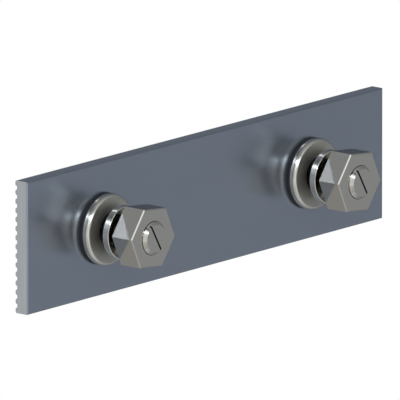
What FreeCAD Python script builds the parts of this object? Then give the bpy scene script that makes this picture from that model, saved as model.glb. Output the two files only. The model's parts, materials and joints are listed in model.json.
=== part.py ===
import FreeCAD, Part
import math
import os
import Sketcher
from FreeCAD import Placement, Rotation, Vector

# Rail splice: a flat bar with a ribbed back, clamped by two T-bolts that pass through it.
# Millimetres. The origin is the centre of the ribbed back at the crests, +X runs along the bar,
# +Z is up, the nuts stand out towards -Y and the T-heads lie behind the bar at +Y.

SIZES = [
    # the bar
    ("plate_length", 160.0),
    ("plate_height", 39.0),
    ("plate_thickness", 4.5),
    ("plate_edge_round", 0.35),
    ("rib_pitch", 2.67),
    ("rib_width", 1.6),
    ("rib_depth", 0.6),
    ("rib_round", 0.5),
    ("bolt_spacing", 93.0),
    # clearances between the bolt and what it passes through, measured on the radius
    ("hole_clearance", 0.5),
    ("ring_clearance", 0.1),
    ("washer_clearance", 0.3),
    ("lock_clearance", 0.2),
    ("nut_clearance", 0.12),
    # the stack on each bolt, from the bar outwards
    ("ring_outer", 21.0),
    ("ring_thickness", 1.1),
    ("ring_round", 0.25),
    ("washer_outer", 21.0),
    ("washer_thickness", 2.0),
    ("washer_front_round", 1.1),
    ("washer_back_round", 0.25),
    ("lock_gap", 3.3),
    ("lock_outer", 15.8),
    ("lock_thickness", 2.2),
    ("lock_round", 0.3),
    ("lock_split", 1.2),
    ("lock_split_lean", 0.8),
    ("lock_split_angle", -30.0),
    ("nut_gap", 2.7),
    ("nut_across_flats", 17.0),
    ("nut_height", 7.6),
    ("nut_chamfer", 0.3),
    ("nut_angle", -6.0),
    # the T-bolt
    ("thread_major", 9.85),
    ("bolt_end_proud", 1.1),
    ("bolt_end_chamfer", 0.85),
    ("bolt_angle", -60.0),
    ("slot_width", 0.6),
    ("slot_depth", 0.5),
    ("head_gap", 5.4),
    ("head_length", 21.0),
    ("head_width", 10.6),
    ("head_thickness", 4.5),
    ("head_edge_round", 0.5),
]

doc = FreeCAD.newDocument("rail_splice")
sheet = doc.addObject("Spreadsheet::Sheet", "Sizes")
for row, (alias, size) in enumerate(SIZES, start=1):
    sheet.set("A%d" % row, alias)
    sheet.set("B%d" % row, str(size))
    sheet.setAlias("B%d" % row, alias)
doc.recompute()

# Formulas that more than one feature uses. Each seat is measured out from the rib crests.
RIBS = "(floor((Sizes.plate_height - Sizes.rib_width) / Sizes.rib_pitch) + 1)"
THREAD_RADIUS = "Sizes.thread_major / 2"
RING_SEAT = "Sizes.plate_thickness"
WASHER_SEAT = RING_SEAT + " + Sizes.ring_thickness"
LOCK_SEAT = WASHER_SEAT + " + Sizes.washer_thickness + Sizes.lock_gap"
NUT_SEAT = LOCK_SEAT + " + Sizes.lock_thickness + Sizes.nut_gap"
BOLT_END = NUT_SEAT + " + Sizes.nut_height + Sizes.bolt_end_proud"
BOLT_LENGTH = "(Sizes.head_gap + " + BOLT_END + ")"
BOLT_PLACE = "%d * Sizes.bolt_spacing / 2"

SIDES = {"left": -1, "right": 1}
SAME_PLACE = 1e-4


def value(alias):
    return float(sheet.get(alias))


def new_body(name):
    body = doc.addObject("PartDesign::Body", name)
    body.Label = name
    return body


def new_sketch(body, name, role, height=None):
    """A sketch on one of the body's origin planes, raised along its normal by a formula."""
    plane = [item for item in body.Origin.OriginFeatures if item.Role == role][0]
    sketch = body.newObject("Sketcher::SketchObject", name)
    sketch.AttachmentSupport = (plane, [""])
    sketch.MapMode = "FlatFace"
    if height:
        sketch.setExpression("AttachmentOffset.Base.z", height)
    return sketch


def hold(sketch, kind, *where, formula=None, size=None):
    """Adds one constraint and, with a formula, binds its value to the sheet."""
    if formula is None:
        sketch.addConstraint(Sketcher.Constraint(kind, *where))
        return
    index = sketch.addConstraint(Sketcher.Constraint(kind, *where, size))
    sketch.setExpression("Constraints[%d]" % index, formula)


def add_circle(sketch, radius, formula):
    """A circle about the sketch's origin."""
    circle = sketch.addGeometry(Part.Circle(Vector(0, 0, 0), Vector(0, 0, 1), radius))
    hold(sketch, "Coincident", circle, 3, -1, 1)
    hold(sketch, "Radius", circle, formula=formula, size=radius)
    return circle


def add_line(sketch, start, end):
    return sketch.addGeometry(Part.LineSegment(Vector(*start, 0), Vector(*end, 0)))


def add_quarter(sketch, centre, radius, start):
    """A quarter circle, anticlockwise from the start angle."""
    circle = Part.Circle(Vector(*centre, 0), Vector(0, 0, 1), radius)
    return sketch.addGeometry(Part.ArcOfCircle(circle, start, start + math.pi / 2))


def add_loop(sketch, points):
    """A closed loop of straight lines through the points."""
    lines = []
    for here, there in zip(points, points[1:] + points[:1]):
        lines.append(add_line(sketch, here, there))
    for line, following in zip(lines, lines[1:] + lines[:1]):
        hold(sketch, "Coincident", line, 2, following, 1)
    return lines


def add_rectangle(sketch, width, height, width_formula, height_formula):
    """A rectangle centred on the sketch's origin."""
    x, y = width / 2, height / 2
    bottom, right, top, left = add_loop(sketch, [(-x, -y), (x, -y), (x, y), (-x, y)])
    for line in (bottom, top):
        hold(sketch, "Horizontal", line)
    for line in (right, left):
        hold(sketch, "Vertical", line)
    hold(sketch, "Symmetric", bottom, 1, top, 1, -1, 1)
    hold(sketch, "DistanceX", bottom, 1, bottom, 2, formula=width_formula, size=width)
    hold(sketch, "DistanceY", right, 1, right, 2, formula=height_formula, size=height)


def pad(body, sketch, name, length, both_ways=False, backwards=False):
    """Raises the sketch into a solid of that length."""
    feature = body.newObject("PartDesign::Pad", name)
    feature.Profile = sketch
    feature.setExpression("Length", length)
    feature.Midplane = both_ways
    feature.Reversed = backwards
    doc.recompute()
    return feature


def pocket(body, sketch, name, depth=None, both_ways=False, backwards=False):
    """Cuts the sketch into the body, right through if no depth is given."""
    before = body.Shape.Volume
    feature = body.newObject("PartDesign::Pocket", name)
    feature.Profile = sketch
    if depth:
        feature.setExpression("Length", depth)
    else:
        feature.Type = "ThroughAll"
    feature.Midplane = both_ways
    feature.Reversed = backwards
    doc.recompute()
    if not body.Shape.Volume < before:
        raise RuntimeError(name + " cuts nothing")
    return feature


def dress(body, kind, name, size, chosen):
    """A Fillet or Chamfer on the edges of the body's last feature that the test picks."""
    base = body.Tip
    edges = ["Edge%d" % (i + 1) for i, edge in enumerate(base.Shape.Edges) if chosen(edge)]
    feature = body.newObject("PartDesign::" + kind, name)
    feature.Base = (base, edges)
    feature.setExpression("Radius" if kind == "Fillet" else "Size", size)
    doc.recompute()
    return feature


def near(one, other):
    return abs(one - other) < SAME_PLACE


def is_rim(edge, height, radius):
    """True for a full circle about the body's axis at that height and radius."""
    curve = edge.Curve
    if not isinstance(curve, Part.Circle):
        return False
    on_axis = near(curve.Center.x, 0) and near(curve.Center.y, 0)
    return on_axis and near(curve.Center.z, height) and near(curve.Radius, radius)


def lies_at(edge, height):
    box = edge.BoundBox
    return near(box.ZMin, height) and near(box.ZMax, height)


def put_on_bolt(body, side, outwards, angle):
    """Turns the body's own Z axis out along -Y and moves it out along the bolt."""
    outwards_turn = Rotation(Vector(1, 0, 0), 90)
    body.Placement = Placement(Vector(0, 0, 0), outwards_turn * Rotation(Vector(0, 0, 1), angle))
    body.setExpression("Placement.Base.x", BOLT_PLACE % side)
    body.setExpression("Placement.Base.y", "-(%s)" % outwards)


def add_plate_section(sketch):
    """The bar's section without its ribs, in Y and Z."""
    front, back = -value("plate_thickness"), -value("rib_depth")
    top = value("plate_height") / 2
    corners = [(front, -top), (back, -top), (back, top), (front, top)]
    under, behind, over, before = add_loop(sketch, corners)
    hold(sketch, "Horizontal", under)
    hold(sketch, "Horizontal", over)
    hold(sketch, "Vertical", before)
    hold(sketch, "Symmetric", behind, 1, behind, 2, -1)
    hold(sketch, "DistanceX", behind, 1, -1, 1, formula="Sizes.rib_depth", size=-back)
    hold(sketch, "DistanceX", before, 1, -1, 1, formula="Sizes.plate_thickness", size=-front)
    hold(sketch, "DistanceY", behind, 1, behind, 2, formula="Sizes.plate_height", size=2 * top)


def add_rib_section(sketch):
    """The lowest rib: its root half way into the web, round shoulders and a flat crest at Y 0."""
    root = -(value("rib_depth") + value("plate_thickness")) / 2
    shoulder = value("rib_round")
    width = value("rib_width")
    ribs_above = math.floor((value("plate_height") - width) / value("rib_pitch"))
    low = -(ribs_above * value("rib_pitch") + width) / 2
    high = low + width
    inner = add_line(sketch, (root, high), (root, low))
    under = add_line(sketch, (root, low), (-shoulder, low))
    lower = add_quarter(sketch, (-shoulder, low + shoulder), shoulder, -math.pi / 2)
    crest = add_line(sketch, (0, low + shoulder), (0, high - shoulder))
    upper = add_quarter(sketch, (-shoulder, high - shoulder), shoulder, 0)
    over = add_line(sketch, (-shoulder, high), (root, high))
    hold(sketch, "Coincident", inner, 2, under, 1)
    hold(sketch, "Coincident", over, 2, inner, 1)
    for here, there in ((under, lower), (lower, crest), (crest, upper), (upper, over)):
        hold(sketch, "Tangent", here, 2, there, 1)
    hold(sketch, "Vertical", inner)
    hold(sketch, "Horizontal", under)
    hold(sketch, "Horizontal", over)
    hold(sketch, "Vertical", crest)
    hold(sketch, "PointOnObject", crest, 1, -2)
    hold(sketch, "Equal", lower, upper)
    hold(sketch, "Radius", lower, formula="Sizes.rib_round", size=shoulder)
    hold(sketch, "DistanceX", inner, 2, -1, 1,
         formula="(Sizes.rib_depth + Sizes.plate_thickness) / 2", size=-root)
    hold(sketch, "DistanceY", inner, 2, inner, 1, formula="Sizes.rib_width", size=width)
    hold(sketch, "DistanceY", inner, 2, -1, 1,
         formula="((%s - 1) * Sizes.rib_pitch + Sizes.rib_width) / 2" % RIBS, size=-low)


def make_plate():
    """The bar: a plain web, one rib repeated up its back, and the two bolt holes."""
    body = new_body("splice_plate")
    web = new_sketch(body, "plate_section", "YZ_Plane")
    add_plate_section(web)
    pad(body, web, "plate_web", "Sizes.plate_length", both_ways=True)
    front = -value("plate_thickness")
    dress(body, "Fillet", "plate_front_edges", "Sizes.plate_edge_round",
          lambda edge: near(edge.BoundBox.YMin, front) and near(edge.BoundBox.YMax, front))

    rib = new_sketch(body, "rib_section", "YZ_Plane")
    add_rib_section(rib)
    lowest = pad(body, rib, "lowest_rib", "Sizes.plate_length", both_ways=True)
    ribs = body.newObject("PartDesign::LinearPattern", "ribs")
    ribs.Originals = [lowest]
    ribs.Direction = (rib, ["V_Axis"])
    ribs.setExpression("Length", "(%s - 1) * Sizes.rib_pitch" % RIBS)
    ribs.setExpression("Occurrences", RIBS)
    body.Tip = ribs
    doc.recompute()

    holes = new_sketch(body, "bolt_hole_circles", "XZ_Plane")
    radius = value("thread_major") / 2 + value("hole_clearance")
    for side in SIDES.values():
        centre = Vector(side * value("bolt_spacing") / 2, 0, 0)
        hole = holes.addGeometry(Part.Circle(centre, Vector(0, 0, 1), radius))
        hold(holes, "PointOnObject", hole, 3, -1)
        hold(holes, "Radius", hole, formula=THREAD_RADIUS + " + Sizes.hole_clearance", size=radius)
        hold(holes, "DistanceX", -1, 1, hole, 3, formula=BOLT_PLACE % side, size=centre.x)
    pocket(body, holes, "bolt_holes", both_ways=True)
    return body


def make_ring(name, outer, bore_clearance, thickness):
    """A plain flat ring about its own Z axis, its back face at Z 0."""
    body = new_body(name)
    sketch = new_sketch(body, name + "_profile", "XY_Plane")
    add_circle(sketch, value(outer) / 2, "Sizes.%s / 2" % outer)
    add_circle(sketch, value("thread_major") / 2 + value(bore_clearance),
               THREAD_RADIUS + " + Sizes." + bore_clearance)
    pad(body, sketch, name + "_ring", "Sizes." + thickness)
    return body


def round_rims(body, name, family):
    """Rounds both outer rims of a ring whose sizes share a first word."""
    radius = value(family + "_outer") / 2
    heights = (0, value(family + "_thickness"))
    dress(body, "Fillet", name + "_rims", "Sizes.%s_round" % family,
          lambda edge: any(is_rim(edge, height, radius) for height in heights))


def make_retaining_ring(name):
    body = make_ring(name, "ring_outer", "ring_clearance", "ring_thickness")
    round_rims(body, name, "ring")
    return body


def make_flat_washer(name):
    body = make_ring(name, "washer_outer", "washer_clearance", "washer_thickness")
    radius = value("washer_outer") / 2
    dress(body, "Fillet", name + "_front", "Sizes.washer_front_round",
          lambda edge: is_rim(edge, value("washer_thickness"), radius))
    dress(body, "Fillet", name + "_back", "Sizes.washer_back_round",
          lambda edge: is_rim(edge, 0, radius))
    return body


def make_lock_ring(name):
    """A spring ring, split by one leaning cut on its own +X side."""
    body = make_ring(name, "lock_outer", "lock_clearance", "lock_thickness")
    round_rims(body, name, "lock")
    sketch = new_sketch(body, name + "_split_outline", "YZ_Plane")
    half = value("lock_split") / 2
    lean = value("lock_split_lean")
    top = value("lock_thickness")
    points = [(-half - lean, 0), (half - lean, 0), (half + lean, top), (-half + lean, top)]
    bottom, right, upper, left = add_loop(sketch, points)
    hold(sketch, "PointOnObject", bottom, 1, -1)
    hold(sketch, "Horizontal", bottom)
    hold(sketch, "Horizontal", upper)
    hold(sketch, "Parallel", right, left)
    hold(sketch, "DistanceX", bottom, 1, bottom, 2, formula="Sizes.lock_split", size=2 * half)
    hold(sketch, "DistanceX", bottom, 1, -1, 1,
         formula="Sizes.lock_split / 2 + Sizes.lock_split_lean", size=half + lean)
    hold(sketch, "DistanceX", left, 1, -1, 1,
         formula="Sizes.lock_split / 2 - Sizes.lock_split_lean", size=half - lean)
    hold(sketch, "DistanceY", bottom, 1, left, 1, formula="Sizes.lock_thickness", size=top)
    pocket(body, sketch, name + "_split", backwards=True)
    return body


def make_nut(name):
    """A hexagon nut with broken outer edges."""
    body = new_body(name)
    sketch = new_sketch(body, name + "_profile", "XY_Plane")
    corner = value("nut_across_flats") / math.sqrt(3)
    points = []
    for turn in range(6):
        spot = Rotation(Vector(0, 0, 1), 60 * turn).multVec(Vector(corner, 0, 0))
        points.append((spot.x, spot.y))
    sides = add_loop(sketch, points)
    guide = add_circle(sketch, corner, "Sizes.nut_across_flats / sqrt(3)")
    sketch.toggleConstruction(guide)
    for side in sides:
        hold(sketch, "PointOnObject", side, 1, guide)
    for side in sides[1:]:
        hold(sketch, "Equal", sides[0], side)
    hold(sketch, "PointOnObject", sides[0], 1, -1)
    bore = value("thread_major") / 2 + value("nut_clearance")
    add_circle(sketch, bore, THREAD_RADIUS + " + Sizes.nut_clearance")
    pad(body, sketch, name + "_block", "Sizes.nut_height")
    dress(body, "Chamfer", name + "_edges", "Sizes.nut_chamfer",
          lambda edge: isinstance(edge.Curve, Part.Line)
          and (lies_at(edge, 0) or lies_at(edge, value("nut_height"))))
    return body


def make_t_bolt(name):
    """The bolt: its head lies below Z 0 along its own X axis and its shank rises along +Z."""
    body = new_body(name)
    head = new_sketch(body, name + "_head_outline", "XY_Plane")
    add_rectangle(head, value("head_length"), value("head_width"),
                  "Sizes.head_length", "Sizes.head_width")
    pad(body, head, name + "_head", "Sizes.head_thickness", backwards=True)
    # The two corners that lead as the bolt is turned clockwise are round. The square ones then
    # stop the head crosswise in its channel.
    dress(body, "Fillet", name + "_leading_corners", "Sizes.head_width / 2",
          lambda edge: not near(edge.BoundBox.ZLength, 0)
          and edge.CenterOfMass.x * edge.CenterOfMass.y < 0)
    dress(body, "Fillet", name + "_head_edges", "Sizes.head_edge_round",
          lambda edge: lies_at(edge, -value("head_thickness")))
    shank = new_sketch(body, name + "_shank_outline", "XY_Plane")
    radius = value("thread_major") / 2
    add_circle(shank, radius, THREAD_RADIUS)
    rod = pad(body, shank, name + "_shank", BOLT_LENGTH)
    length = rod.Length.Value
    dress(body, "Chamfer", name + "_end", "Sizes.bolt_end_chamfer",
          lambda edge: is_rim(edge, length, radius))
    slot = new_sketch(body, name + "_slot_outline", "XY_Plane", height=BOLT_LENGTH)
    add_rectangle(slot, value("thread_major"), value("slot_width"),
                  "Sizes.thread_major", "Sizes.slot_width")
    pocket(body, slot, name + "_slot", "Sizes.slot_depth")
    return body


parts = [make_plate()]
for word, side in SIDES.items():
    stack = [
        (make_retaining_ring(word + "_retaining_ring"), RING_SEAT, 0),
        (make_flat_washer(word + "_flat_washer"), WASHER_SEAT, 0),
        (make_lock_ring(word + "_lock_ring"), LOCK_SEAT, value("lock_split_angle")),
        (make_nut(word + "_hex_nut"), NUT_SEAT, value("nut_angle")),
        (make_t_bolt(word + "_t_bolt"), "-Sizes.head_gap", value("bolt_angle")),
    ]
    for piece, outwards, angle in stack:
        put_on_bolt(piece, side, outwards, angle)
        parts.append(piece)
doc.recompute()

for item in doc.Objects:
    if "Invalid" in item.State or "Error" in item.State:
        raise RuntimeError("%s failed: %s" % (item.Name, item.State))
for piece in parts:
    if piece.Shape.isNull() or not piece.Shape.isValid() or len(piece.Shape.Solids) != 1:
        raise RuntimeError(piece.Label + " is not one valid solid")

os.makedirs("parts", exist_ok=True)
for piece in parts:
    piece.Shape.exportStep("parts/%s.step" % piece.Label)
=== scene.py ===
import json
import math

import bmesh
import bpy
from mathutils import Matrix, Vector


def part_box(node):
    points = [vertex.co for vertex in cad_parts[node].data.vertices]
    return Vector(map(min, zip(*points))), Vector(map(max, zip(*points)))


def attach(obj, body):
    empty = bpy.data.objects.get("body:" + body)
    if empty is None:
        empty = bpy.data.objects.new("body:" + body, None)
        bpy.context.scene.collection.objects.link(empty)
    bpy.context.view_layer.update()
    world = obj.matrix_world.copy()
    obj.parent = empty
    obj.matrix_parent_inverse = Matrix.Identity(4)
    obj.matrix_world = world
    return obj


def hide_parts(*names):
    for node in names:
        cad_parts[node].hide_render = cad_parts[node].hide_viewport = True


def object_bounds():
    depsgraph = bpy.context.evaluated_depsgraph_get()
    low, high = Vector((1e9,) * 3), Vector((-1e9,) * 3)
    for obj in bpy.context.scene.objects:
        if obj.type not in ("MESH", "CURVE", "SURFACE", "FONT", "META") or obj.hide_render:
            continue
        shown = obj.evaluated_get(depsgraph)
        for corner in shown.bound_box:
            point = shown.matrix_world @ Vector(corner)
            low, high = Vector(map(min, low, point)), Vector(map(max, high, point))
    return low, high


# Rail splice: looks for a ribbed aluminium bar with two T-bolts. Metres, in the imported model's frame:
# +X along the bar, +Z up, the nuts towards -Y, the rib crests at Y 0.

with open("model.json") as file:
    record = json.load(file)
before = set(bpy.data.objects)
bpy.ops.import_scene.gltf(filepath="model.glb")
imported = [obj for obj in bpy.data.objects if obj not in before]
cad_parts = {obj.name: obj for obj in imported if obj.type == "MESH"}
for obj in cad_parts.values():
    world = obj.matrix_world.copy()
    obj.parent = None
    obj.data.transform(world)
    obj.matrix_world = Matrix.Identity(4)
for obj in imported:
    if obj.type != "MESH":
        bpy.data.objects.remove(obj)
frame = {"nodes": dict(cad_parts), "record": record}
cad_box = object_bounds()

MM = 0.001
SIDES = ("left", "right")
BOLT_SPACING = 93.0 * MM


# Camera

VIEW_AZIMUTH = math.radians(-50.05)
VIEW_ELEVATION = math.radians(13.04)
VIEW_TARGET = Vector((-27.63, -25.0, 8.11)) * MM
VIEW_WIDTH = 114.9 * MM
SENSOR = 36.0
LENS = 1700.0
CLIP_START = 0.1
CLIP_END = 20.0


def add_camera():
    """A very long lens, because the photograph shows no perspective."""
    data = bpy.data.cameras.new("camera")
    data.sensor_width = SENSOR
    data.lens = LENS
    data.clip_start = CLIP_START
    data.clip_end = CLIP_END
    camera = bpy.data.objects.new("camera", data)
    bpy.context.scene.collection.objects.link(camera)
    back = Vector((math.sin(VIEW_AZIMUTH) * math.cos(VIEW_ELEVATION),
                   -math.cos(VIEW_AZIMUTH) * math.cos(VIEW_ELEVATION),
                   math.sin(VIEW_ELEVATION)))
    distance = VIEW_WIDTH * LENS / SENSOR
    camera.location = VIEW_TARGET + back * distance
    camera.rotation_mode = "QUATERNION"
    camera.rotation_quaternion = (-back).to_track_quat("-Z", "Y")
    bpy.context.scene.camera = camera


# Node trees

# A Mix node has a socket of the same name for each kind of value, so these are given by number.
MIX_SHARE = 0
MIX_ONE_NUMBER = 2
MIX_OTHER_NUMBER = 3
MIX_ONE_COLOUR = 6
MIX_OTHER_COLOUR = 7
MIX_COLOUR_RESULT = 2

# Noise stays within about this span of its 0 to 1.
NOISE_SPAN = (0.3, 0.7)


class Tree:
    """A shader tree in which each call adds a node and returns one of its outputs."""

    def __init__(self, owner):
        owner.use_nodes = True
        self.nodes = owner.node_tree.nodes
        self.links = owner.node_tree.links
        self.nodes.clear()

    def add(self, kind, inputs=(), output=0, **settings):
        node = self.nodes.new(kind)
        for name, setting in settings.items():
            setattr(node, name, setting)
        for key, given in dict(inputs).items():
            self.feed(node.inputs[key], given)
        return node.outputs[output] if node.outputs else None

    def feed(self, socket, given):
        if isinstance(given, bpy.types.NodeSocket):
            self.links.new(given, socket)
        else:
            socket.default_value = given

    def math(self, operation, *terms):
        return self.add("ShaderNodeMath", dict(enumerate(terms)), operation=operation)

    def dot(self, one, other):
        return self.add("ShaderNodeVectorMath", {0: one, 1: other}, output="Value",
                        operation="DOT_PRODUCT")

    def ramp(self, given, low, high, to_low=0.0, to_high=1.0, smooth=True):
        """The value moved from one range to another, held at its ends."""
        inputs = {"Value": given, "From Min": low, "From Max": high,
                  "To Min": to_low, "To Max": to_high}
        return self.add("ShaderNodeMapRange", inputs,
                        interpolation_type="SMOOTHSTEP" if smooth else "LINEAR", clamp=True)

    def by_noise(self, noise, at_low, at_high):
        """A value that goes from one number to another with the noise."""
        return self.ramp(noise, *NOISE_SPAN, at_low, at_high)

    def vary(self, given, pattern, reach):
        """The value lowered or raised by up to a reach, as a pattern of 0 to 1 says."""
        return self.math("MULTIPLY_ADD", pattern, 2 * reach, self.math("SUBTRACT", given, reach))

    def mix(self, share, one, other):
        inputs = {MIX_SHARE: share, MIX_ONE_NUMBER: one, MIX_OTHER_NUMBER: other}
        return self.add("ShaderNodeMix", inputs)

    def mix_colour(self, share, one, other, **settings):
        inputs = {MIX_SHARE: share, MIX_ONE_COLOUR: one, MIX_OTHER_COLOUR: other}
        return self.add("ShaderNodeMix", inputs, output=MIX_COLOUR_RESULT, data_type="RGBA",
                        **settings)

    def place(self):
        """The point in the piece's own coordinates, so that a pattern rides with its piece."""
        return self.add("ShaderNodeTexCoord", output="Object")

    def coordinate(self, vector, axis):
        return self.add("ShaderNodeSeparateXYZ", {0: vector}, output=axis)

    def facing(self, axis):
        """How squarely the surface faces along one of the piece's own axes, 0 to 1."""
        normal = self.add("ShaderNodeTexCoord", output="Normal")
        return self.math("ABSOLUTE", self.coordinate(normal, axis))

    def noise(self, point, detail=2.0):
        inputs = {"Vector": point, "Scale": 1.0, "Detail": detail}
        return self.add("ShaderNodeTexNoise", inputs, output="Fac")

    def grain(self, waves, detail=2.0):
        """Noise with so many waves a metre along X, Y and Z."""
        point = self.add("ShaderNodeVectorMath", {0: self.place(), 1: waves}, operation="MULTIPLY")
        return self.noise(point, detail)

    def even_grain(self, waves, detail=3.0):
        """Noise with as many waves a metre every way."""
        return self.grain((waves, waves, waves), detail)

    def turned(self, waves):
        """Noise in rings about the nearer bolt's axis, as a lathe leaves it."""
        x, y, z = (self.coordinate(self.place(), axis) for axis in "XYZ")
        beside = self.math("SUBTRACT", self.math("ABSOLUTE", x), BOLT_SPACING / 2)
        square = self.math("MULTIPLY_ADD", z, z, self.math("MULTIPLY", beside, beside))
        radius = self.math("SQRT", square)
        point = self.add("ShaderNodeCombineXYZ", {"X": self.math("MULTIPLY", radius, waves),
                                                  "Y": self.math("MULTIPLY", y, waves)})
        return self.noise(point)

    def bump(self, height, depth, under=None):
        """A normal bent by a height of 0 to 1 that stands for a depth in metres."""
        inputs = {"Height": height, "Distance": depth, "Strength": 1.0}
        if under:
            inputs["Normal"] = under
        return self.add("ShaderNodeBump", inputs)


# Light: one broad light in front that fades all round, two weak ones behind, and four lamps and five dim
# patches that the part's glossy faces mirror. Each lies in a direction from the part, and the two cosines
# of its span say where it starts and where it is full.

BACKGROUND = (1.0, 1.0, 1.0, 1.0)
AMBIENT = 0.25
FRONT_TOWARD = Vector((-0.38, -0.90, -0.20)).normalized()
FRONT_FADE = -0.41
FRONT_GLOW = 0.64
BACK_TOWARD = Vector((-0.52, 0.84, 0.0)).normalized()
BACK_SPAN = (0.30, 0.85)
BACK_GLOW = 0.095
# The weak light that the bar's top face mirrors.
TOP_TOWARD = Vector((0.7468, 0.6256, 0.2256)).normalized()
TOP_SPAN = (0.80, 0.95)
TOP_GLOW = 0.075
# The dim patches: direction, span and the share of light that is left.
DIM_PATCHES = ((Vector((0.72, 0.35, 0.60)), (0.90, 0.985), 0.55),
               (Vector((0.80, -0.59, 0.10)), (0.95, 0.99), 0.35),
               (Vector((-0.45, -0.63, 0.65)), (0.90, 0.97), 0.32),
               (Vector((0.7468, -0.6256, -0.2256)), (0.92, 0.98), 0.87),
               (Vector((-0.47, -0.63, -0.62)), (0.90, 0.97), 0.70))
RING_LAMP_TOWARD = Vector((-0.66, -0.63, 0.41)).normalized()
RING_LAMP_SPAN = (0.970, 0.99)
RING_LAMP_GLOW = 1.1
# The long lamp is a band across its axis, cut off at both ends.
LONG_LAMP_AXIS = Vector((0.50, 0.0, 0.866)).normalized()
LONG_LAMP_ACROSS = (0.13, 0.25)
LONG_LAMP_EDGE = 0.015
LONG_LAMP_TOWARD = Vector((-0.45, -0.76, 0.47)).normalized()
LONG_LAMP_ENDS = (0.47, 0.60)
LONG_LAMP_GLOW = 4.0
SMALL_LAMP_TOWARD = Vector((-0.33, -0.77, 0.545)).normalized()
SMALL_LAMP_SPAN = (0.988, 0.995)
SMALL_LAMP_GLOW = 1.0
SIDE_LAMP_TOWARD = Vector((-0.75, 0.62, -0.22)).normalized()
SIDE_LAMP_SPAN = (0.88, 0.96)
SIDE_LAMP_GLOW = 0.9
# The light is cool, and nearly neutral where it comes from the lower left.
LIGHT_TINT = (0.95, 1.0, 1.05, 1.0)
WARM_TINT = (1.0, 0.99, 0.98, 1.0)
WARM_TOWARD = Vector((-0.80, -0.10, -0.45)).normalized()
WARM_SPAN = (0.35, 0.70)


def add_world():
    """A plain studio; the camera itself sees a white backdrop."""
    world = bpy.data.worlds.new("studio")
    bpy.context.scene.world = world
    tree = Tree(world)
    direction = tree.add("ShaderNodeTexCoord", output="Generated")

    def lobe(toward, span, to_low=0.0, to_high=1.0):
        return tree.ramp(tree.dot(direction, toward), *span, to_low, to_high)

    def lighten(level, toward, span, glow):
        return tree.math("MULTIPLY_ADD", lobe(toward, span), glow, level)

    front = tree.ramp(tree.dot(direction, FRONT_TOWARD), FRONT_FADE, 1.0, smooth=False)
    level = tree.math("MULTIPLY_ADD", tree.math("POWER", front, 2.0), FRONT_GLOW, AMBIENT)
    level = lighten(level, BACK_TOWARD, BACK_SPAN, BACK_GLOW)
    for toward, span, share in DIM_PATCHES:
        level = tree.math("MULTIPLY", level, lobe(toward.normalized(), span, 1.0, share))
    level = lighten(level, TOP_TOWARD, TOP_SPAN, TOP_GLOW)
    level = lighten(level, RING_LAMP_TOWARD, RING_LAMP_SPAN, RING_LAMP_GLOW)
    across = tree.dot(direction, LONG_LAMP_AXIS)
    low, high = LONG_LAMP_ACROSS
    lamp = tree.ramp(across, low - LONG_LAMP_EDGE, low + LONG_LAMP_EDGE)
    far_edge = tree.ramp(across, high + LONG_LAMP_EDGE, high - LONG_LAMP_EDGE)
    lamp = tree.math("MULTIPLY", lamp, far_edge)
    lamp = tree.math("MULTIPLY", lamp, lobe(LONG_LAMP_TOWARD, LONG_LAMP_ENDS))
    level = tree.math("MULTIPLY_ADD", lamp, LONG_LAMP_GLOW, level)
    level = lighten(level, SMALL_LAMP_TOWARD, SMALL_LAMP_SPAN, SMALL_LAMP_GLOW)
    level = lighten(level, SIDE_LAMP_TOWARD, SIDE_LAMP_SPAN, SIDE_LAMP_GLOW)
    tint = tree.mix_colour(lobe(WARM_TOWARD, WARM_SPAN), LIGHT_TINT, WARM_TINT)
    lit = tree.mix_colour(1.0, level, tint, blend_type="MULTIPLY")
    seen = tree.add("ShaderNodeLightPath", output="Is Camera Ray")
    colour = tree.mix_colour(seen, lit, BACKGROUND)
    surface = tree.add("ShaderNodeBackground", {"Color": colour, "Strength": 1.0})
    tree.add("ShaderNodeOutputWorld", {"Surface": surface})


# Two far lamps that only the bar's gloss takes up: direction, strength and width in degrees.
BAR_LAMPS = ((Vector((-0.51, -0.6255, 0.59)), 0.125, 8.0),
             (Vector((0.23, -0.6255, 0.745)), 0.10, 5.0))
BAR_LAMP_COLOUR = (1.03, 0.94, 0.84)


def add_bar_lamps():
    """Lamps whose highlights on the bar show in the bright nuts and lock rings."""
    lit = bpy.data.collections.new("lit_by_bar_lamps")
    lit.objects.link(frame["nodes"]["splice_plate"])
    for number, (toward, strength, width) in enumerate(BAR_LAMPS):
        name = "bar_lamp_%d" % number
        data = bpy.data.lights.new(name, "SUN")
        data.energy = strength
        data.color = BAR_LAMP_COLOUR
        data.angle = math.radians(width)
        lamp = bpy.data.objects.new(name, data)
        lamp.rotation_mode = "QUATERNION"
        lamp.rotation_quaternion = toward.to_track_quat("Z", "Y")
        lamp.visible_diffuse = False
        lamp.light_linking.receiver_collection = lit
        bpy.context.scene.collection.objects.link(lamp)


FLOOR_DROP = 60 * MM
FLOOR_HALF = 3.0
FLOOR_CORNERS = ((-1, -1), (1, -1), (1, 1), (-1, 1))


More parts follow.
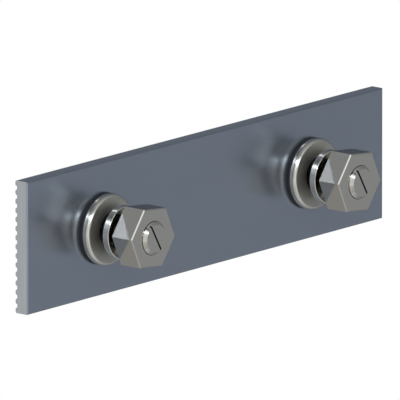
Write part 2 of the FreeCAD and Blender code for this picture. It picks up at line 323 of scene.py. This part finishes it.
def add_floor():
    """A plain white floor well below the part, which hangs free as in the photograph. It has no
    underside, so that the part shows from below as well."""
    mesh = bpy.data.meshes.new("floor")
    height = cad_box[0].z - FLOOR_DROP
    corners = [(x * FLOOR_HALF, y * FLOOR_HALF, height) for x, y in FLOOR_CORNERS]
    mesh.from_pydata(corners, [], [(0, 1, 2, 3)])
    floor = bpy.data.objects.new("floor", mesh)
    bpy.context.scene.collection.objects.link(floor)
    material = bpy.data.materials.new("floor_white")
    tree = Tree(material)
    white = tree.add("ShaderNodeEmission", {"Color": BACKGROUND, "Strength": 1.0})
    clear = tree.add("ShaderNodeBsdfTransparent")
    underside = tree.add("ShaderNodeNewGeometry", output="Backfacing")
    surface = tree.add("ShaderNodeMixShader", {0: underside, 1: white, 2: clear})
    tree.add("ShaderNodeOutputMaterial", {"Surface": surface})
    mesh.materials.append(material)
    floor.visible_glossy = False
    floor.visible_diffuse = False
    floor.visible_shadow = False


# Materials. Each pattern is in the piece's own coordinates, and its waves are counted a metre.

STEEL = (0.61, 0.59, 0.535)


def steel(shade=1.0):
    """The steel's colour made lighter or darker."""
    return [channel * shade for channel in STEEL]


def tinted(tree, colour, pattern, spread):
    """The colour made darker and lighter by a share, as a pattern of 0 to 1 says."""
    low = [channel * (1 - spread) for channel in colour]
    high = [channel * (1 + spread) for channel in colour]
    return tree.mix_colour(tree.ramp(pattern, *NOISE_SPAN, smooth=False), (*low, 1.0), (*high, 1.0))


def finish(material, tree, colour, roughness, normal=None, **others):
    """The surface itself. A value that is the same all over is set on the shader's own socket."""
    inputs = {"Base Color": colour, "Roughness": roughness, **others}
    if normal:
        inputs["Normal"] = normal
    surface = tree.add("ShaderNodeBsdfPrincipled", inputs)
    tree.add("ShaderNodeOutputMaterial", {"Surface": surface})
    return material


BAR_COLOUR = (0.045, 0.047, 0.056)
BAR_END_COLOUR = (0.285, 0.30, 0.315)
BAR_GLOSS_TINT = (0.76, 0.85, 1.0, 1.0)
BAR_IOR = 4.6
BAR_ROUGHNESS = 0.25
BAR_ROUGHNESS_SPREAD = 0.01
BAR_END_FROM = 79.9 * MM
DIE_LINE_WAVES = (12.0, 2200.0, 2200.0)
SAW_LINE_WAVES = (0.0, 1500.0, 60.0)


def bar_material():
    """Anodised aluminium with a bluish gloss and fine lines from the extrusion die. Its sawn ends
    are bare metal with saw marks."""
    material = bpy.data.materials.new("bar_anodised")
    tree = Tree(material)
    die_lines = tree.grain(DIE_LINE_WAVES)
    saw_lines = tree.grain(SAW_LINE_WAVES)
    cloud = tree.even_grain(waves=90.0)
    x = tree.math("ABSOLUTE", tree.coordinate(tree.place(), "X"))
    at_end = tree.math("GREATER_THAN", x, BAR_END_FROM)
    lines = tree.mix(at_end, die_lines, saw_lines)
    anodised = tinted(tree, BAR_COLOUR, die_lines, spread=0.02)
    sawn = tinted(tree, BAR_END_COLOUR, saw_lines, spread=0.06)
    colour = tree.mix_colour(at_end, anodised, sawn)
    roughness = tree.by_noise(cloud, at_low=BAR_ROUGHNESS - BAR_ROUGHNESS_SPREAD,
                              at_high=BAR_ROUGHNESS + BAR_ROUGHNESS_SPREAD)
    roughness = tree.vary(roughness, lines, reach=0.008)
    return finish(material, tree, colour, roughness, tree.bump(lines, depth=0.0001 * MM),
                  **{"Metallic": at_end, "IOR": BAR_IOR, "Specular Tint": BAR_GLOSS_TINT})


# Painted shade and highlight: the face's colour is made darker and the rim's lighter.
WASHER_FACE_PAINTED_SHADE = 0.74
WASHER_RIM_PAINTED_HIGHLIGHT = 1.12
WASHER_RIM_ROUGHNESS = 0.19
# The face is this much rougher than the rim, where the surface faces along Y within this span.
WASHER_FACE_ROUGHER = 0.32
WASHER_FACE_SPAN = (0.90, 0.995)


def washer_material():
    """Turned steel with a softer face. Painted shade darkens the face, a painted highlight the rim."""
    material = bpy.data.materials.new("washer_steel")
    tree = Tree(material)
    rings = tree.turned(waves=2600.0)
    smudge = tree.even_grain(waves=260.0)
    on_face = tree.ramp(tree.facing("Y"), *WASHER_FACE_SPAN)
    roughness = tree.math("MULTIPLY_ADD", on_face, WASHER_FACE_ROUGHER, WASHER_RIM_ROUGHNESS)
    roughness = tree.vary(roughness, smudge, reach=0.05)
    roughness = tree.vary(roughness, rings, reach=0.03)
    # The face's colour carries painted shade and the rim's a painted highlight.
    painted_shade_face = tinted(tree, steel(WASHER_FACE_PAINTED_SHADE), smudge, spread=0.08)
    bright = tinted(tree, steel(WASHER_RIM_PAINTED_HIGHLIGHT), rings, spread=0.03)
    return finish(material, tree, tree.mix_colour(on_face, bright, painted_shade_face), roughness,
                  tree.bump(rings, depth=0.004 * MM), Metallic=1.0)


LOCK_SHADE = 1.2


def lock_material():
    """A bright spring ring with faint lines round its wall."""
    material = bpy.data.materials.new("lock_steel")
    tree = Tree(material)
    rings = tree.turned(waves=3000.0)
    colour = tinted(tree, steel(LOCK_SHADE), rings, spread=0.02)
    roughness = tree.by_noise(rings, at_low=0.05, at_high=0.10)
    return finish(material, tree, colour, roughness, tree.bump(rings, depth=0.001 * MM),
                  Metallic=1.0)


DRAWN_LINE_WAVES = (1800.0, 60.0, 1800.0)
NUT_FACE_FROM = 0.9
NUT_SMUDGE_SPAN = (0.35, 0.75)
NUT_ROUGHNESS = (0.05, 0.09)


def nut_material():
    """Bright cold-formed steel: drawn lines along the flats, turned rings on both faces."""
    material = bpy.data.materials.new("nut_steel")
    tree = Tree(material)
    drawn = tree.grain(DRAWN_LINE_WAVES)
    rings = tree.turned(waves=2600.0)
    on_face = tree.math("GREATER_THAN", tree.facing("Y"), NUT_FACE_FROM)
    lines = tree.mix(on_face, drawn, rings)
    smudge = tree.even_grain(waves=320.0)
    colour = tinted(tree, steel(), lines, spread=0.02)
    roughness = tree.ramp(smudge, *NUT_SMUDGE_SPAN, *NUT_ROUGHNESS)
    return finish(material, tree, colour, roughness, tree.bump(lines, depth=0.0005 * MM),
                  Metallic=1.0)


def bolt_material():
    """The bolt's bright turned end and neck."""
    material = bpy.data.materials.new("bolt_steel")
    tree = Tree(material)
    rings = tree.turned(waves=2400.0)
    smudge = tree.even_grain(waves=300.0)
    colour = tinted(tree, steel(), rings, spread=0.03)
    roughness = tree.by_noise(smudge, at_low=0.07, at_high=0.12)
    return finish(material, tree, colour, roughness, tree.bump(rings, depth=0.0008 * MM),
                  Metallic=1.0)


FORGED_SHADE = 0.85


def forged_material():
    """The bolt's head as forged and tumbled: duller, with a slightly uneven skin."""
    material = bpy.data.materials.new("bolt_forged")
    tree = Tree(material)
    skin = tree.even_grain(waves=420.0)
    dents = tree.even_grain(waves=1500.0, detail=2.0)
    colour = tinted(tree, steel(FORGED_SHADE), skin, spread=0.08)
    roughness = tree.by_noise(skin, at_low=0.20, at_high=0.32)
    uneven = tree.bump(skin, depth=0.03 * MM)
    return finish(material, tree, colour, roughness,
                  tree.bump(dents, depth=0.006 * MM, under=uneven), Metallic=1.0)


THREAD_MOTTLE_WAVES = (700.0, 900.0, 700.0)
THREAD_MOTTLE_SPAN = (0.35, 0.7)
# Painted shade: both thread colours are made nearly black, standing for the shade round the thread.
THREAD_DEEPER_PAINTED_SHADE = (0.02, 0.02, 0.018, 1.0)
THREAD_LIGHTER_PAINTED_SHADE = (0.10, 0.10, 0.092, 1.0)


def thread_material():
    """Rolled thread whose colour is painted shade: far darker than the end, mottled at random."""
    material = bpy.data.materials.new("thread_steel")
    tree = Tree(material)
    mottle = tree.grain(THREAD_MOTTLE_WAVES, detail=4.0)
    colour = tree.mix_colour(tree.ramp(mottle, *THREAD_MOTTLE_SPAN), THREAD_DEEPER_PAINTED_SHADE, THREAD_LIGHTER_PAINTED_SHADE)
    roughness = tree.by_noise(mottle, at_low=0.42, at_high=0.24)
    return finish(material, tree, colour, roughness, tree.bump(mottle, depth=0.01 * MM),
                  Metallic=1.0)


# Painted shade: the slot's inside is made nearly black, as a recess in shade.
SLOT_PAINTED_SHADE = (0.05, 0.05, 0.046)
SLOT_ROUGHNESS = 0.5
SLOT_LINE_WAVES = (900.0, 2500.0, 900.0)


def slot_material():
    """The sawn slot's inside, its colour darkened with painted shade."""
    material = bpy.data.materials.new("dark_slot")
    tree = Tree(material)
    lines = tree.grain(SLOT_LINE_WAVES)
    return finish(material, tree, tinted(tree, SLOT_PAINTED_SHADE, lines, spread=0.3), SLOT_ROUGHNESS,
                  tree.bump(lines, depth=0.01 * MM), Metallic=1.0)


RUBBER_COLOUR = (0.018, 0.018, 0.020)


def rubber_material():
    """Matt black moulded rubber with a fine grain."""
    material = bpy.data.materials.new("black_rubber")
    tree = Tree(material)
    pores = tree.even_grain(waves=4500.0)
    dust = tree.even_grain(waves=500.0)
    roughness = tree.by_noise(dust, at_low=0.52, at_high=0.70)
    return finish(material, tree, tinted(tree, RUBBER_COLOUR, dust, spread=0.25), roughness,
                  tree.bump(pores, depth=0.01 * MM))


def dress(node, material):
    """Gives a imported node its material."""
    mesh = frame["nodes"][node].data
    for index in range(len(mesh.materials)):
        mesh.materials[index] = material


# The threaded T-bolts, in the bolt's own frame: millimetres, Z 0 at the head's underside, the slotted
# end up along Z, the head's long sides along X.

BOLT_ANGLE = math.radians(-60)
HEAD_LENGTH = 21.0
HEAD_WIDTH = 10.6
HEAD_CORNER = 0.7
# The round corners stop just short of each other at the head's two ends.
HEAD_ROUND = HEAD_WIDTH / 2 - 0.01
HEAD_BACK_EDGE = 0.5
HEAD_FRONT_EDGE = 0.15
CORNER_STEPS = 10
THREAD_RADIUS = 4.925
THREAD_PITCH = 1.5
THREAD_DEPTH = 0.92
# One turn of the thread: shares of the pitch, and how deep the profile is there.
THREAD_PROFILE = ((0.0, 0.0), (0.125, 0.0), (0.42, 0.9), (0.48, 1.0), (0.645, 1.0), (0.705, 0.9))
THREAD_RUN_OUT = 1.2
THREAD_COLUMNS = 96
THREAD_MATERIAL_INDEX = 1
PLAIN_NECK = 0.6
PLAIN_END = 1.6
END_CHAMFER = 0.85
SLOT_WIDTH = 0.6
SLOT_DEPTH = 0.5
# Points nearer than this count as one.
NEAR = 1e-4
SHARP_FROM = math.radians(28)


def groove(share):
    """How deep the thread is at a share of its pitch, from 0 at the crest to 1 at the root."""
    share = share % 1.0
    points = THREAD_PROFILE + ((1.0, 0.0),)
    for (start, depth), (end, next_depth) in zip(points, points[1:]):
        if share <= end:
            return depth + (next_depth - depth) * (share - start) / (end - start)
    return 0.0


def shank(length, sunk):
    """The threaded rod from inside the head to the chamfered end. The thread runs out at both ends."""
    low, high = -sunk, length - END_CHAMFER
    thread_from, thread_to = PLAIN_NECK, length - PLAIN_END
    per_turn = len(THREAD_PROFILE)
    first = math.floor(low / THREAD_PITCH) - 1
    turns = math.ceil(high / THREAD_PITCH) + 1 - first
    rows = turns * per_turn
    mesh = bmesh.new()

    def point(row, column):
        turn, step = divmod(row, per_turn)
        share = column / THREAD_COLUMNS
        height = THREAD_PITCH * (first + turn + THREAD_PROFILE[step][0] + share)
        height = min(max(height, low), high)
        fade = min(height - thread_from, thread_to - height) / THREAD_RUN_OUT
        fade = min(max(fade, 0.0), 1.0)
        radius = THREAD_RADIUS - THREAD_DEPTH * fade * groove(height / THREAD_PITCH - share)
        angle = 2 * math.pi * share
        return radius * math.cos(angle), radius * math.sin(angle), height

    columns = range(THREAD_COLUMNS)
    grid = [[mesh.verts.new(point(row, column)) for column in columns] for row in range(rows)]

    def corner(row, column):
        """The grid's point; a turn's last column is followed by the next turn's first."""
        if column == THREAD_COLUMNS:
            return grid[min(row + per_turn, rows - 1)][0]
        return grid[row][column]

    for row in range(rows - 1):
        for column in columns:
            corners = (corner(row, column), corner(row, column + 1),
                       corner(row + 1, column + 1), corner(row + 1, column))
            if len(set(corners)) == 4:
                mesh.faces.new(corners)
    tip = THREAD_RADIUS - END_CHAMFER
    ring = []
    for column in columns:
        angle = 2 * math.pi * column / THREAD_COLUMNS
        ring.append(mesh.verts.new((tip * math.cos(angle), tip * math.sin(angle), length)))
    for column in columns:
        following = (column + 1) % THREAD_COLUMNS
        mesh.faces.new((grid[-1][column], grid[-1][following], ring[following], ring[column]))
    mesh.faces.new(ring)
    mesh.faces.new(list(reversed(grid[0])))
    bmesh.ops.remove_doubles(mesh, verts=mesh.verts, dist=NEAR)
    bmesh.ops.dissolve_degenerate(mesh, edges=mesh.edges, dist=NEAR)
    bmesh.ops.recalc_face_normals(mesh, faces=mesh.faces)
    for face in mesh.faces:
        if thread_from < face.calc_center_median().z < thread_to:
            face.material_index = THREAD_MATERIAL_INDEX
    return mesh


def rounded_outline(length, width, radii):
    """A rectangle's outline with its own radius at each corner, anticlockwise from +X +Y."""
    points = []
    for index, (x, y) in enumerate(((1, 1), (-1, 1), (-1, -1), (1, -1))):
        radius = radii[index]
        start = index * math.pi / 2
        for step in range(CORNER_STEPS + 1):
            angle = start + math.pi / 2 * step / CORNER_STEPS
            points.append((x * (length / 2 - radius) + radius * math.cos(angle),
                           y * (width / 2 - radius) + radius * math.sin(angle)))
    return points


def round_edges(mesh, edges, radius, segments):
    bmesh.ops.bevel(mesh, geom=edges, offset=radius, segments=segments, profile=0.5, affect="EDGES")


def head(thickness):
    """The T-head below Z 0: two square corners, two round ones and a rounded edge at its back."""
    radii = (HEAD_CORNER, HEAD_ROUND, HEAD_CORNER, HEAD_ROUND)
    outline = rounded_outline(HEAD_LENGTH, HEAD_WIDTH, radii)
    mesh = bmesh.new()
    top = mesh.faces.new([mesh.verts.new((x, y, 0.0)) for x, y in outline])
    pushed = bmesh.ops.extrude_face_region(mesh, geom=[top])
    moved = [item for item in pushed["geom"] if isinstance(item, bmesh.types.BMVert)]
    bmesh.ops.translate(mesh, verts=moved, vec=(0, 0, -thickness))
    bmesh.ops.recalc_face_normals(mesh, faces=mesh.faces)
    back = [edge for edge in mesh.edges
            if all(vert.co.z < -thickness + NEAR for vert in edge.verts)]
    round_edges(mesh, back, HEAD_BACK_EDGE, segments=4)
    front = [edge for edge in mesh.edges if all(vert.co.z > -NEAR for vert in edge.verts)]
    round_edges(mesh, front, HEAD_FRONT_EDGE, segments=2)
    return mesh


def slot_cutter(length):
    """A slab across the bolt's end that reaches past both its sides."""
    mesh = bmesh.new()
    bmesh.ops.create_cube(mesh, size=1.0)
    bmesh.ops.scale(mesh, verts=mesh.verts, vec=(3 * THREAD_RADIUS, SLOT_WIDTH, 2 * SLOT_DEPTH))
    bmesh.ops.translate(mesh, verts=mesh.verts, vec=(0, 0, length))
    return mesh


def as_object(name, mesh, *materials):
    data = bpy.data.meshes.new(name)
    mesh.to_mesh(data)
    mesh.free()
    for material in materials:
        data.materials.append(material)
    made = bpy.data.objects.new(name, data)
    bpy.context.scene.collection.objects.link(made)
    return made


def combine(base, tool, operation):
    """A boolean worked into the base's own mesh. The tool is deleted."""
    modifier = base.modifiers.new("combine", "BOOLEAN")
    modifier.object = tool
    modifier.operation = operation
    modifier.solver = "EXACT"
    modifier.material_mode = "TRANSFER"
    evaluated = base.evaluated_get(bpy.context.evaluated_depsgraph_get())
    made = bpy.data.meshes.new_from_object(evaluated)
    base.modifiers.clear()
    base.data = made
    bpy.data.objects.remove(tool)


def add_t_bolt(side, surface, forged, thread, inside):
    """A threaded T-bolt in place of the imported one, as long and as thick as that is."""
    node = side + "_t_bolt"
    low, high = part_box(node)
    seats = {mount["name"]: mount["pos_m"] for mount in frame["record"]["mounts"]}
    underside = seats[side + "_head_grip"][1]
    length = (underside - low.y) / MM
    thickness = (high.y - underside) / MM
    bolt = as_object(side + "_threaded_bolt", shank(length, thickness / 2), surface, thread)
    combine(bolt, as_object(side + "_head", head(thickness), forged), "UNION")
    combine(bolt, as_object(side + "_slot", slot_cutter(length), inside), "DIFFERENCE")
    axis = (-1 if side == "left" else 1) * BOLT_SPACING / 2
    place = (Matrix.Translation((axis, underside, 0)) @ Matrix.Rotation(math.pi / 2, 4, "X")
             @ Matrix.Rotation(BOLT_ANGLE, 4, "Z") @ Matrix.Scale(MM, 4))
    bolt.data.transform(place)
    bolt.data.shade_smooth()
    bolt.data.set_sharp_from_angle(angle=SHARP_FROM)
    bolt.modifiers.new("flat_faces_stay_flat", "WEIGHTED_NORMAL").keep_sharp = True
    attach(bolt, side + "_bolt")
    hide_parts(node)


bpy.context.scene.view_settings.view_transform = "Standard"
add_camera()
add_world()
add_bar_lamps()
add_floor()
bar = bar_material()
rubber = rubber_material()
washer = washer_material()
lock = lock_material()
nut = nut_material()
bolt_steel = bolt_material()
forged_steel = forged_material()
thread_steel = thread_material()
slot_inside = slot_material()
dress("splice_plate", bar)
for side in SIDES:
    dress(side + "_retaining_ring", rubber)
    dress(side + "_flat_washer", washer)
    dress(side + "_lock_ring", lock)
    dress(side + "_hex_nut", nut)
    add_t_bolt(side, bolt_steel, forged_steel, thread_steel, slot_inside)
